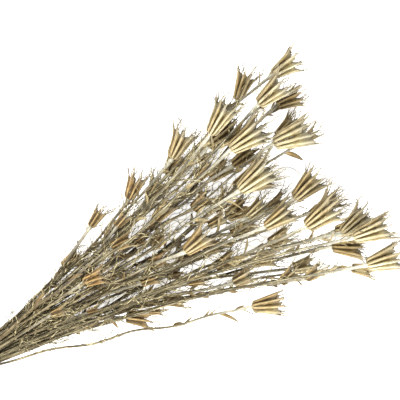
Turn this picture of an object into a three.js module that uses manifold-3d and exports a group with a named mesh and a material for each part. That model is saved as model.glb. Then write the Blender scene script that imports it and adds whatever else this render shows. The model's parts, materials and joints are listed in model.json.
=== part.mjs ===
// A tied bunch of dried Nigella orientalis stems with their ribbed seed pods, lying on its side.
// Millimetres, +Z up. The bunch runs along +X from its cut ends to its pods and rests on Z = 0.
// Each stem is one solid: stalk, side branch, thread leaves and pods, as it grew.
import * as THREE from "three";
import Module from "manifold-3d";

const wasm = await Module();
wasm.setup();

// Driving dimensions. The working frame has its origin in the middle of the tie.
const STALK_PITCH = 2.65; // between neighbouring stalks where they are tied
const ROW_PITCH = STALK_PITCH * 0.866;
const FOOT_RADIUS = 1.1;
const NECK_RADIUS = 0.9;
const STALK_SIDES = 4;
const TAIL_LENGTH = 78; // stalk left below the tie
const TAIL_SPREAD = 0.3;
const TWINE_DIAMETER = 1.8;
const TWINE_TURNS = 5;
const TIE_CLEARANCE = 0.6;
const TIE_HALF = (TWINE_TURNS * TWINE_DIAMETER) / 2;
const TIE_EASE = 25; // how gently the stalks bend apart where they leave the tie
const SPREAD_DEPTH = 56; // from the lowest to the highest layer of stalks at SPREAD_REACH
const SPREAD_REACH = 350;
const LOWEST_STALK = 8; // height of the lowest layer over the floor, at its pods
const SIDE_BOW = 8; // how far a stalk bows out of the straight, sideways and up or down
const EDGE_DRAW = 0.5; // how far a stalk at the edge bows inward, for each degree of its fan angle
const UP_BOW = 4;
const WAVE = 3;
const LYING_POD = 0.85; // height of a pod's axis where it lies on the floor, of its mouth's radius
const BRANCH_RISE = 6; // a side branch's pod stands this much over the stalks of its layer

const STATION = 8; // the bunch is worked out in slices this far apart along X
const SLICES = 60;
const FREE_SLICE = 2; // the first slice past the tie where a stalk can move
const GAP = 1.9; // left between two stems
const FOOT_GAP = 0.45; // the same where they leave the tie
const GAP_REACH = 130; // how far along the bunch the gap keeps growing
const ROUNDS = 360; // of pushing the stems apart
const STIFF_AT_FIRST = 0.6; // how much a stalk is straightened in the first round and in the last
const STIFF_AT_LAST = 0.12;
const PUSH = 0.7; // share of a missing gap that one round makes good
const OWN_SLICES = 4; // near its fork a side branch may lie on its own stalk
const POD_PRESS = 1.4; // how far a pod's rim is flattened where it lies on the floor
const MOUTH_RADIUS = 0.4; // of a pod's length
const POD_REACH = 1.1; // how far a pod needs room, of its length
const POD_SIDEWAYS = 0.35; // how easily a pod shifts sideways, against 1 for up and down
const LEAF_SPACING = 90;
const LEAVES_IN_TUFT = 1;
const LEAF_RADIUS = 0.55;
const LEAF_CLEARANCE = 1;
const STRAIGHT_ENOUGH = 0.6; // a bend less deep than this is left out of a stalk
const DEGREE = Math.PI / 180;

// The stems, layer by layer from the floor up, and in each layer from -Y to +Y.
// Each is [reach from tie to pod, fan angle, turn of the pod off its stalk, pod length], in mm and degrees,
// and a second row of four where a side branch carries a smaller pod.
const LAYERS = [
  [
    [[377, -13.4, -24, 20]],
    [[212, -4.5, -6, 17], [229, -2.4, -1, 18]],
    [[280, 3.0, 9, 18]],
    [[262, 9.0, -10, 19], [283, 8.9, 7, 20]],
    [[294, 15.3, -10, 19], [136, 15.5, -8, 20]],
  ],
  [
    [[366, -10.4, -20, 29], [324, -10.5, -3, 20]],
    [[312, -7.1, 5, 22], [290, -8.3, -8, 24]],
    [[283, -1.5, -4, 23], [322, 0.0, 6, 22]],
    [[307, 3.2, 2, 21], [167, 2.8, -9, 16], [287, 0.9, 2, 24]],
    [[385, 10.8, -16, 25], [319, 8.6, -2, 26], [371, 12.4, 4, 20]],
    [[266, 14.6, 16, 21], [286, 15.0, 6, 18]],
  ],
  [
    [[310, -13.2, 26, 18]],
    [[203, -11.8, -17, 18], [187, -12.4, -8, 13]],
    [[373, -8.5, -8, 25]],
    [[364, -4.7, 4, 25], [253, -3.3, 0, 18]],
    [[381, 3.8, 4, 18], [204, 0.6, -14, 17], [368, 8.9, 2, 24]],
    [[293, 6.4, 2, 23], [215, 4.8, 18, 16], [264, 5.4, 6, 20]],
    [[237, 12.8, 19, 22]],
  ],
  [
    [[333, -13.4, 18, 17]],
    [[164, -11.7, -22, 23]],
    [[257, -6.6, 8, 22], [229, -8.0, -6, 16]],
    [[304, -0.5, 13, 22], [269, 1.0, 0, 18]],
    [[317, 2.2, -8, 24]],
    [[310, 11.8, -6, 33], [202, 7.0, -9, 14]],
    [[358, 14.0, 27, 27]],
    [[225, 16.3, 22, 23], [182, 18.4, 9, 18]],
  ],
  [
    [[279, -16.3, -5, 28]],
    [[268, -10.4, 9, 19]],
    [[376, -8.1, 21, 30]],
    [[350, -1.3, 16, 29], [189, -3.0, -7, 17]],
    [[231, 9.2, 9, 21], [132, 9.5, 0, 13]],
    [[398, 13.2, -8, 27]],
    [[280, 16.2, 18, 28]],
  ],
  [
    [[390, -14.1, 2, 32]],
    [[349, -7.0, 15, 34]],
    [[314, -3.3, 8, 30], [132, -4.0, -6, 13]],
    [[360, 7.6, -16, 35], [215, 4.0, 16, 16]],
    [[324, 9.3, -5, 37], [144, 7.2, -14, 20]],
    [[371, 12.6, -1, 30], [200, 13.6, 7, 15]],
  ],
  [
    [[385, -10.0, 1, 35]],
    [[238, -1.3, 12, 27], [102, 2.0, -10, 14]],
    [[310, 4.7, 6, 35]],
    [[183, 8.6, -11, 20]],
    [[320, 14.1, 16, 32]],
  ],
];

// A number from 0 to 1 that depends only on which strand and which trait it is drawn for.
function chance(strand, trait) {
  let h = Math.imul(strand * 131 + trait * 7919 + 2024, 2654435761);
  h ^= h >>> 15;
  h = Math.imul(h, 2246822519);
  h ^= h >>> 13;
  return (h >>> 0) / 4294967296;
}
const between = (low, high, share) => low + (high - low) * share;

const tieInner = ((LAYERS[3].length - 1) / 2) * STALK_PITCH + FOOT_RADIUS + TIE_CLEARANCE;
const FLOOR = -(tieInner + 0.46 * TWINE_DIAMETER); // the twine is pressed flat underneath

// A strand is a stalk or a side branch with the pod at its end.
// y0 and z0 are its route before the pods push their neighbours aside.
function strandsOfBunch() {
  const strands = [];
  LAYERS.forEach((layer, level) =>
    layer.forEach((rows, place) => {
      const slotY = (place - (layer.length - 1) / 2) * STALK_PITCH;
      const slotZ = (level - (LAYERS.length - 1) / 2) * ROW_PITCH;
      const main = strands.length;
      rows.forEach((row, order) => {
        const index = strands.length;
        const [reach, fan, turn, length] = row;
        const endX = reach * Math.cos(fan * DEGREE);
        const endY = reach * Math.sin(fan * DEGREE);
        const openness = between(0.88, 1.12, chance(index, 4));
        const mouth = MOUTH_RADIUS * length * openness;
        const lift = (level / (LAYERS.length - 1)) * SPREAD_DEPTH * (endX / SPREAD_REACH);
        const onFloor = level === 0 && !order; // the pods of the lowest layer lie down
        const height = onFloor ? LYING_POD * mouth : LOWEST_STALK + lift + (order ? BRANCH_RISE : 0);
        const endZ = FLOOR + height;
        const bow = order ? 0 : between(-SIDE_BOW, SIDE_BOW, chance(index, 1)) - EDGE_DRAW * fan;
        const arch = order ? 0 : between(-UP_BOW, UP_BOW, chance(index, 8));
        const wave = order ? 0 : between(-WAVE, WAVE, chance(index, 9));
        const waves = between(1.6, 3.2, chance(index, 10));
        const parent = order ? strands[main] : null;
        const forkX = endX - between(55, 80, chance(index, 2));
        const startX = order ? Math.max(STATION, Math.round(forkX / STATION) * STATION) : 0;
        const turned = (fan + turn) * DEGREE;
        const rise = onFloor ? 0 : between(-12, 12, chance(index, 3)) * DEGREE;
        strands.push({
          index, level, place, order, parent, reach, length, mouth,
          slotY, slotZ, endX, endY, endZ, bow, arch, wave, waves, startX, turned, rise,
        });
      });
    }),
  );
  return strands;
}

// Radius of the room that a strand takes at distance x along the bunch.
function roomAt(s, x) {
  const along = (x - s.endX) / (s.length * Math.cos(s.turned));
  if (along <= 0) return between(FOOT_RADIUS, NECK_RADIUS, x / s.endX) + (along > -0.25 ? 0.6 : 0);
  const flare = along < 0.15 ? 0.25 + 1.2 * along : 0.43 + 0.72 * (along - 0.15);
  return (s.mouth * Math.min(1.12, flare)) / Math.cos(s.turned);
}

function routeAt(s, x) {
  if (x > s.endX) {
    const past = x - s.endX;
    return [s.endY + past * Math.tan(s.turned), s.endZ + past * Math.tan(s.rise)];
  }
  if (s.parent) {
    const [y, z] = routeAt(s.parent, s.startX);
    const t = (x - s.startX) / (s.endX - s.startX);
    return [between(y, s.endY, t), between(z, s.endZ, t)];
  }
  const t = shareOfWay(x) / shareOfWay(s.endX);
  const free = 4 * t * (1 - t); // none at the tie and none at the pod
  const aside = free * (s.bow + s.wave * Math.sin(2 * Math.PI * s.waves * t));
  return [between(s.slotY, s.endY, t) + aside, between(s.slotZ, s.endZ, t) + free * s.arch];
}

// Grows with the distance past the tie, slowly at first, because the tie holds the stalks parallel.
function shareOfWay(x) {
  const past = Math.max(0, x - TIE_HALF - 1);
  return (past * past) / (past + TIE_EASE);
}

// Moves the strands apart, slice by slice, until no pod or stalk touches another, and keeps each smooth.
// dy and dz are how far each strand is moved in each slice.
function layOut(strands) {
  for (const s of strands) {
    s.first = Math.round(s.startX / STATION);
    s.podSlice = Math.ceil(s.endX / STATION);
    s.last = Math.ceil((s.endX + s.length * Math.cos(s.turned) * POD_REACH) / STATION);
    s.room = [];
    s.y0 = [];
    s.z0 = [];
    s.dy = [];
    s.dz = [];
    for (let j = 0; j < SLICES; j++) {
      const there = j >= s.first && j <= s.last;
      s.room[j] = there ? roomAt(s, j * STATION) : 0;
      [s.y0[j], s.z0[j]] = routeAt(s, j * STATION);
      s.dy[j] = 0;
      s.dz[j] = 0;
    }
  }
  for (let round = 0; round < ROUNDS; round++) {
    separate(strands);
    smooth(strands, between(STIFF_AT_FIRST, STIFF_AT_LAST, round / ROUNDS));
    settlePods(strands);
    keepOffFloor(strands);
  }
}

function separate(strands) {
  for (const s of strands) {
    s.py = new Float64Array(SLICES);
    s.pz = new Float64Array(SLICES);
  }
  for (let a = 0; a < strands.length; a++) {
    for (let b = a + 1; b < strands.length; b++) {
      const s = strands[a];
      const t = strands[b];
      const own = t.parent === s ? OWN_SLICES : 0;
      const from = Math.max(s.first, t.first + own, FREE_SLICE);
      const to = Math.min(s.last, t.last);
      for (let j = from; j <= to; j++) {
        const y = s.y0[j] + s.dy[j] - t.y0[j] - t.dy[j];
        const z = s.z0[j] + s.dz[j] - t.z0[j] - t.dz[j];
        const d = Math.sqrt(y * y + z * z) + 1e-9;
        const short = s.room[j] + t.room[j] + gapAt(j * STATION) - d;
        if (short <= 0) continue;
        const share = t.room[j] / (s.room[j] + t.room[j]); // the slimmer one moves further
        s.py[j] += (y / d) * short * share;
        s.pz[j] += (z / d) * short * share;
        t.py[j] -= (y / d) * short * (1 - share);
        t.pz[j] -= (z / d) * short * (1 - share);
      }
    }
  }
  for (const s of strands) {
    for (let j = Math.max(FREE_SLICE, s.first); j <= s.last; j++) {
      const ease = j >= s.podSlice ? POD_SIDEWAYS : 1;
      s.dy[j] += PUSH * ease * s.py[j];
      s.dz[j] += PUSH * s.pz[j];
    }
  }
}

function gapAt(x) {
  return between(FOOT_GAP, GAP, Math.min(1, x / GAP_REACH));
}

function smooth(strands, weight) {
  for (const s of strands) {
    for (const d of [s.dy, s.dz]) {
      const old = d.slice();
      for (let j = Math.max(FREE_SLICE, s.first + 1); j <= s.last; j++) {
        const next = j < s.last ? old[j + 1] : old[j];
        d[j] = between(old[j], (old[j - 1] + next) / 2, weight);
      }
      if (s.parent) d[s.first] = (d === s.dy ? s.parent.dy : s.parent.dz)[s.first];
    }
  }
}

// A pod is stiff, so all its slices move alike.
function settlePods(strands) {
  for (const s of strands) {
    for (const d of [s.dy, s.dz]) {
      let sum = 0;
      for (let j = s.podSlice; j <= s.last; j++) sum += d[j];
      for (let j = s.podSlice; j <= s.last; j++) d[j] = sum / (s.last - s.podSlice + 1);
    }
  }
}

function keepOffFloor(strands) {
  for (const s of strands) {
    let podLift = 0;
    for (let j = Math.max(FREE_SLICE, s.first); j <= s.last; j++) {
      const pod = j >= s.podSlice;
      const low = s.z0[j] + s.dz[j] - s.room[j] * (pod ? Math.cos(s.turned) : 1);
      const under = FLOOR - (pod ? POD_PRESS : -0.2) - low;
      if (under <= 0) continue;
      if (pod) podLift = Math.max(podLift, under);
      else s.dz[j] += under;
    }
    for (let j = s.podSlice; j <= s.last; j++) s.dz[j] += podLift;
  }
}

// Where a strand's middle line is at distance x, after the bunch is laid out.
function middleAt(s, x) {
  const f = Math.min(Math.max(x / STATION, s.first), s.last);
  const j = Math.min(Math.floor(f), s.last - 1);
  const t = f - j;
  const [y, z] = routeAt(s, x);
  return new THREE.Vector3(x, y + between(s.dy[j], s.dy[j + 1], t), z + between(s.dz[j], s.dz[j + 1], t));
}

function podBase(s) {
  const [y, z] = routeAt(s, s.endX);
  return new THREE.Vector3(s.endX, y + s.dy[s.podSlice], z + s.dz[s.podSlice]);
}

function podAxis(s) {
  return new THREE.Vector3(1, Math.tan(s.turned), Math.tan(s.rise)).normalize();
}

// Points along a strand, fewer where it is straight, each with the stalk's radius.
function stalkLine(s) {
  const line = [];
  if (!s.parent) {
    const tail = TAIL_LENGTH + 16 * chance(s.index, 5);
    const swell = 1 + TAIL_SPREAD;
    line.push({ p: new THREE.Vector3(-tail, s.slotY * swell, s.slotZ * swell), r: FOOT_RADIUS });
    line.push({ p: new THREE.Vector3(-TIE_HALF - 2, s.slotY, s.slotZ), r: FOOT_RADIUS });
  }
  for (let j = s.first; j < s.podSlice; j++) {
    const x = j * STATION;
    if (x < s.endX - 0.2 * s.length) line.push({ p: middleAt(s, x), r: stalkRadius(s, x) });
  }
  line.push({ p: podBase(s).addScaledVector(podAxis(s), 0.04 * s.length), r: NECK_RADIUS });
  return thinned(line, STRAIGHT_ENOUGH);
}

function stalkRadius(s, x) {
  const foot = s.parent ? NECK_RADIUS + 0.1 : FOOT_RADIUS;
  return between(foot, NECK_RADIUS, Math.min(1, x / s.endX));
}

// Drops the points that lie within tolerance of the straight line between the ones that stay.
function thinned(line, tolerance) {
  if (line.length < 3) return line;
  const ends = new THREE.Line3(line[0].p, line[line.length - 1].p);
  let far = 0;
  let worst = tolerance;
  for (let i = 1; i < line.length - 1; i++) {
    const off = ends.closestPointToPoint(line[i].p, true, new THREE.Vector3()).distanceTo(line[i].p);
    if (off > worst) [worst, far] = [off, i];
  }
  if (!far) return [line[0], line[line.length - 1]];
  return [...thinned(line.slice(0, far + 1), tolerance), ...thinned(line.slice(far), tolerance).slice(1)];
}

// Two directions square to an axis.
function across(axis) {
  const u = new THREE.Vector3().crossVectors(axis, new THREE.Vector3(0, 0, 1)).normalize();
  return [u, new THREE.Vector3().crossVectors(axis, u)];
}

// A closed solid from points and triangles.
function solid(points, triangles) {
  const vertProperties = new Float32Array(points.flatMap((p) => [p.x, p.y, p.z]));
  const made = new wasm.Manifold(new wasm.Mesh({ numProp: 3, vertProperties, triVerts: new Uint32Array(triangles) }));
  if (made.volume() <= 0) throw new Error("a solid is inside out");
  return made;
}

// A tapering rod with flat ends through the points of a line.
function rod(line, sides) {
  const points = [];
  const triangles = [];
  line.forEach(({ p, r }, i) => {
    const back = line[Math.max(0, i - 1)].p;
    const ahead = line[Math.min(line.length - 1, i + 1)].p;
    const [u, v] = across(new THREE.Vector3().subVectors(ahead, back).normalize());
    for (let k = 0; k < sides; k++) {
      const angle = (2 * Math.PI * k) / sides;
      points.push(p.clone().addScaledVector(u, r * Math.cos(angle)).addScaledVector(v, r * Math.sin(angle)));
    }
  });
  for (let i = 0; i + 1 < line.length; i++) {
    for (let k = 0; k < sides; k++) {
      const [a, b] = [i * sides + k, i * sides + ((k + 1) % sides)];
      triangles.push(a, b, b + sides, a, b + sides, a + sides);
    }
  }
  const end = (line.length - 1) * sides;
  for (let k = 1; k + 1 < sides; k++) triangles.push(0, k + 1, k, end, end + k, end + k + 1);
  return solid(points, triangles);
}

// A seed pod: follicles joined in a ribbed cup below and standing free above, each drawn out into a beak.
// Heights are shares of the pod's length and radii shares of its mouth.
const POD_RINGS = [
  { height: 0.06, ridge: 0.36, groove: 0.24 },
  { height: 0.5, ridge: 0.64, groove: 0.36 },
];
const FREE_RINGS = [
  { height: 0.76, keel: 0.86, inner: 0.5, width: 0.15 },
  { height: 0.96, keel: 1.0, inner: 0.6, width: 0.13 },
];
const BEAK = { height: 1.17, radius: 1.1 };
const POD_FLOOR = 0.36;
const NECK = -0.09; // where the stalk starts to swell into the pod

function follicleCount(s) {
  return Math.max(3, Math.min(7, Math.round(s.length / 4.3)));
}

function pod(s) {
  const count = follicleCount(s);
  const base = podBase(s);
  const axis = podAxis(s);
  const [u, v] = across(axis);
  const roll = chance(s.index, 6) * 2 * Math.PI;
  const at = (height, radius, turn, aside = 0) => {
    const angle = roll + (turn * 2 * Math.PI) / count;
    const [c, n] = [Math.cos(angle), Math.sin(angle)];
    const p = base.clone().addScaledVector(axis, height * s.length);
    p.addScaledVector(u, s.mouth * (radius * c - aside * n));
    return p.addScaledVector(v, s.mouth * (radius * n + aside * c));
  };
  const points = [at(NECK, 0, 0)];
  const triangles = [];
  const ringSize = 2 * count;
  POD_RINGS.forEach((ring) => {
    for (let k = 0; k < count; k++) {
      points.push(at(ring.height, ring.groove, k - 0.5), at(ring.height, ring.ridge, k));
    }
  });
  const cup = (ring, k) => 1 + ring * ringSize + ((k + ringSize) % ringSize);
  for (let k = 0; k < ringSize; k++) triangles.push(0, cup(0, k + 1), cup(0, k));
  for (let ring = 0; ring + 1 < POD_RINGS.length; ring++) {
    for (let k = 0; k < ringSize; k++) {
      triangles.push(cup(ring, k), cup(ring, k + 1), cup(ring + 1, k + 1));
      triangles.push(cup(ring, k), cup(ring + 1, k + 1), cup(ring + 1, k));
    }
  }
  const rim = POD_RINGS.length - 1;
  const centre = points.push(at(POD_FLOOR, 0, 0)) - 1;
  for (let k = 0; k < count; k++) {
    // below holds one side of the follicle, its keel and its other side
    let below = [cup(rim, 2 * k), cup(rim, 2 * k + 1), cup(rim, 2 * k + 2)];
    triangles.push(centre, below[0], below[2]);
    const bend = between(-0.05, 0.05, chance(s.index, 20 + k));
    for (const ring of FREE_RINGS) {
      const height = ring.height + bend;
      const above = [
        points.push(at(height, ring.inner, k, -ring.width)) - 1,
        points.push(at(height, ring.keel + bend, k)) - 1,
        points.push(at(height, ring.inner, k, ring.width)) - 1,
      ];
      for (let i = 0; i < 3; i++) {
        const n = (i + 1) % 3;
        triangles.push(below[i], below[n], above[n], below[i], above[n], above[i]);
      }
      below = above;
    }
    const tip = points.push(at(BEAK.height + bend, BEAK.radius + 2 * bend, k)) - 1;
    for (let i = 0; i < 3; i++) triangles.push(below[i], below[(i + 1) % 3], tip);
  }
  return solid(points, triangles);
}

// Thread leaves: dry needles that spring from the stalk in tufts, each only where it has room.
function leavesOf(s, strands) {
  const made = [];
  const spots = [s.endX - 0.35 * s.length];
  const start = s.parent ? s.startX + 12 : 70;
  for (let x = start + LEAF_SPACING * chance(s.index, 7); x < s.endX - 50; x += LEAF_SPACING) spots.push(x);
  spots.forEach((x, spot) => {
    for (let n = 0; n < LEAVES_IN_TUFT; n++) {
      const draw = (trait) => chance(s.index, 40 + spot * 40 + n * 10 + trait);
      const root = middleAt(s, x + 3 * n);
      const along = middleAt(s, x + 3 * n + 4).sub(root).normalize();
      const [u, v] = across(along);
      const round = 2 * Math.PI * draw(0);
      const lean = between(14, 40, draw(1)) * DEGREE;
      const length = between(12, 26, draw(2));
      const aim = along.clone().multiplyScalar(Math.cos(lean));
      aim.addScaledVector(u, Math.sin(lean) * Math.cos(round)).addScaledVector(v, Math.sin(lean) * Math.sin(round));
      if (isClear(root, aim, length, s, strands)) made.push(needle(root, aim, length));
    }
  });
  return made;
}

function isClear(root, aim, length, own, strands) {
  const STEPS = 9;
  for (let i = 1; i <= STEPS; i++) {
    const p = root.clone().addScaledVector(aim, (length * i) / STEPS);
    if (p.z < FLOOR + LEAF_RADIUS) return false;
    const clear = (o) => {
      const first = o.parent ? o.startX : 0;
      const end = o.endX + 1.3 * o.length * Math.cos(o.turned);
      if (p.x < first || p.x > end) return true;
      const m = middleAt(o, p.x);
      return Math.hypot(p.y - m.y, p.z - m.z) > roomAt(o, p.x) + LEAF_RADIUS + LEAF_CLEARANCE;
    };
    const family = (o) => o === own || o.parent === own || own.parent === o;
    if (!strands.every((o) => family(o) || clear(o))) return false;
  }
  return true;
}

// A three-sided needle whose root is sunk in the stalk.
function needle(root, aim, length) {
  const [u, v] = across(aim);
  const points = [0, 1, 2].map((k) => {
    const angle = (2 * Math.PI * k) / 3;
    const p = root.clone().addScaledVector(u, LEAF_RADIUS * Math.cos(angle));
    return p.addScaledVector(v, LEAF_RADIUS * Math.sin(angle));
  });
  points.push(root.clone().addScaledVector(aim, length));
  return solid(points, [0, 2, 1, 0, 1, 3, 1, 2, 3, 2, 0, 3]);
}

// The twine: close turns round the bundle, with a knot on top.
function twineTie() {
  const profile = [];
  const r = TWINE_DIAMETER / 2;
  const middle = tieInner + r;
  profile.push(new THREE.Vector2(tieInner, -TIE_HALF), new THREE.Vector2(middle, -TIE_HALF));
  for (let turn = 0; turn < TWINE_TURNS; turn++) {
    const centre = -TIE_HALF + r + turn * TWINE_DIAMETER;
    profile.push(new THREE.Vector2(middle + r, centre), new THREE.Vector2(middle, centre + r));
  }
  profile.push(new THREE.Vector2(tieInner, TIE_HALF), new THREE.Vector2(tieInner, -TIE_HALF));
  const ring = new THREE.LatheGeometry(profile, 22).rotateZ(-Math.PI / 2);
  const knot = new THREE.SphereGeometry(2.6, 8, 5).scale(1.1, 1.3, 0.8).translate(0, 0, tieInner + 2.6);
  return solidOf(ring).add(solidOf(knot));
}

// A closed three.js geometry as a solid, with its doubled points merged.
function solidOf(geometry) {
  const flat = geometry.index ? geometry.toNonIndexed() : geometry;
  const position = flat.getAttribute("position");
  const points = [];
  const found = new Map();
  const corner = [];
  for (let i = 0; i < position.count; i++) {
    const p = new THREE.Vector3().fromBufferAttribute(position, i);
    const key = [p.x, p.y, p.z].map((c) => Math.round(c * 1e4)).join();
    if (!found.has(key)) found.set(key, points.push(p) - 1);
    corner.push(found.get(key));
  }
  const triangles = [];
  for (let i = 0; i < corner.length; i += 3) {
    const [a, b, c] = corner.slice(i, i + 3);
    if (a !== b && b !== c && c !== a) triangles.push(a, b, c);
  }
  return solid(points, triangles);
}

function meshOf(name, shape, material) {
  const { vertProperties, triVerts } = shape.getMesh();
  const geometry = new THREE.BufferGeometry();
  geometry.setAttribute("position", new THREE.BufferAttribute(vertProperties, 3));
  geometry.setIndex(new THREE.BufferAttribute(triVerts, 1));
  geometry.computeVertexNormals();
  const mesh = new THREE.Mesh(geometry, material);
  mesh.name = name;
  return mesh;
}

const straw = new THREE.MeshStandardMaterial({ color: 0xcdb77c, roughness: 0.62, metalness: 0 });
const olive = new THREE.MeshStandardMaterial({ color: 0x9c8d62, roughness: 0.72, metalness: 0 });
const umber = new THREE.MeshStandardMaterial({ color: 0x8a6f45, roughness: 0.75, metalness: 0 });
const jute = new THREE.MeshStandardMaterial({ color: 0xb08d57, roughness: 0.9, metalness: 0 });

// The upper layers dried pale, the lower ones darker.
function materialOf(s) {
  if (s.level >= 4) return straw;
  return s.level >= 2 ? olive : umber;
}

const strands = strandsOfBunch();
layOut(strands);

const below = solidOf(new THREE.BoxGeometry(1200, 800, 40).translate(200, 0, FLOOR - 20));
const bunch = new THREE.Group();
for (const s of strands.filter((o) => !o.parent)) {
  const family = strands.filter((o) => o === s || o.parent === s);
  let plant = null;
  for (const o of family) {
    const pieces = [rod(stalkLine(o), STALK_SIDES), pod(o), ...leavesOf(o, strands)];
    for (const piece of pieces) plant = plant ? plant.add(piece) : piece;
  }
  const name = "stem_" + String(bunch.children.length + 1).padStart(2, "0");
  bunch.add(meshOf(name, plant.subtract(below), materialOf(s)));
}
bunch.add(meshOf("twine_tie", twineTie().subtract(below), jute));

// The part's origin is under the middle of the bunch, on the surface that it lies on.
const box = new THREE.Box3().setFromObject(bunch, true);
const middle = box.getCenter(new THREE.Vector3());
bunch.position.set(-middle.x, -middle.y, -box.min.z);
bunch.updateMatrixWorld(true);

export default bunch;
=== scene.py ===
"""A tied bunch of dried Nigella orientalis stems with their ribbed seed pods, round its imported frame.

The bunch is laid out here by the same rules as its solids, in millimetres, with the origin in the middle
of the tie and +X along the bunch. Every finished mesh is then shifted to the frame's place and written in
metres.
"""
import json
import math

import bpy
import numpy as np
from mathutils import Matrix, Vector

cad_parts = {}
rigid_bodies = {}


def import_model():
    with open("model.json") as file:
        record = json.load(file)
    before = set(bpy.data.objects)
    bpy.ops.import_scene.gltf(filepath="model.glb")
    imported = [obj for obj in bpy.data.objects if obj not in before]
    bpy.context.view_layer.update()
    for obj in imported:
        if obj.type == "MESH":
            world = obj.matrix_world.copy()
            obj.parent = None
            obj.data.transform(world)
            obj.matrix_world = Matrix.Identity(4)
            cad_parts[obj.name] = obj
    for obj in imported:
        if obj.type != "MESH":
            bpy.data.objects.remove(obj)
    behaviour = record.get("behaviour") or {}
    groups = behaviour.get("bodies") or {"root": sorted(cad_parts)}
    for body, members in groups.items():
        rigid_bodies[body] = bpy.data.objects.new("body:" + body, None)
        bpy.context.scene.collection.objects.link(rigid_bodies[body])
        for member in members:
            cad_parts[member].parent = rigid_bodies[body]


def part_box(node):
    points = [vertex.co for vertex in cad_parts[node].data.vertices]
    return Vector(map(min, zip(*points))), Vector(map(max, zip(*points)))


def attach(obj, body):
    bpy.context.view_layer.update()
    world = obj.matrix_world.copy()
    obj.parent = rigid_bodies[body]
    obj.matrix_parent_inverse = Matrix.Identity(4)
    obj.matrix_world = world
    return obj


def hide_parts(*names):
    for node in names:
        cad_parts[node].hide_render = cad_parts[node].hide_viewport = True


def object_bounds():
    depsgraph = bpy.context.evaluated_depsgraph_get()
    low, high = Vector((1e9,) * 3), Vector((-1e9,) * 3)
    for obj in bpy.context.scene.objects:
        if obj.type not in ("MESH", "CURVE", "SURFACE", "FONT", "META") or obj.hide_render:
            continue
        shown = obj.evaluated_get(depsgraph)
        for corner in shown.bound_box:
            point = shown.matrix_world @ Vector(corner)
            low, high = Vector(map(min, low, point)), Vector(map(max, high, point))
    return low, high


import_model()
cad_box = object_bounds()

DEGREE = math.pi / 180
MM = 0.001

# The bunch's driving sizes in mm, the same as its solids have.
STALK_PITCH = 2.65  # between neighbouring stalks where they are tied
ROW_PITCH = STALK_PITCH * 0.866
FOOT_RADIUS = 1.1
NECK_RADIUS = 0.9
TAIL_LENGTH = 78  # stalk left below the tie
TAIL_SPREAD = 0.3
TWINE_DIAMETER = 1.8
TWINE_TURNS = 5
TIE_CLEARANCE = 0.6
TIE_HALF = TWINE_TURNS * TWINE_DIAMETER / 2
TIE_EASE = 25  # how gently the stalks bend apart where they leave the tie
SPREAD_DEPTH = 56  # from the lowest to the highest layer of stalks at SPREAD_REACH
SPREAD_REACH = 350
LOWEST_STALK = 8  # height of the lowest layer over the floor, at its pods
SIDE_BOW = 8
EDGE_DRAW = 0.5  # how far a stalk at the edge bows inward, for each degree of its fan angle
UP_BOW = 4
WAVE = 3
LYING_POD = 0.85  # height of a pod's axis where it lies on the floor, of its mouth's radius
BRANCH_RISE = 6  # a side branch's pod stands this much over the stalks of its layer
MOUTH_RADIUS = 0.4  # of a pod's length
POD_REACH = 1.1  # how far a pod needs room, of its length
LEAF_SPACING = 90
LEAVES_IN_TUFT = 1
LEAF_RADIUS = 0.55
LEAF_CLEARANCE = 1

# The rules by which the stems are pushed apart, also the same as for the solids.
STATION = 8  # the bunch is worked out in slices this far apart along X
SLICES = 60
FREE_SLICE = 2  # the first slice past the tie where a stalk can move
GAP = 1.9  # left between two stems
FOOT_GAP = 0.45  # the same where they leave the tie
GAP_REACH = 130  # how far along the bunch the gap keeps growing
ROUNDS = 360
STIFF_AT_FIRST = 0.6  # how much a stalk is straightened in the first round and in the last
STIFF_AT_LAST = 0.12
PUSH = 0.7  # share of a missing gap that one round makes good
OWN_SLICES = 4  # near its fork a side branch may lie on its own stalk
POD_PRESS = 1.4  # how far a pod's rim is flattened where it lies on the floor
POD_SIDEWAYS = 0.35  # how easily a pod shifts sideways, against 1 for up and down

# Where the draws of each kind of feature start among a strand's traits.
LEAF_TRAITS = 40
FOLLICLE_TRAITS = 200
THREAD_TRAITS = 1000
HUSK_TRAITS = 7000
HAIR_TRAITS = 9000

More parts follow.
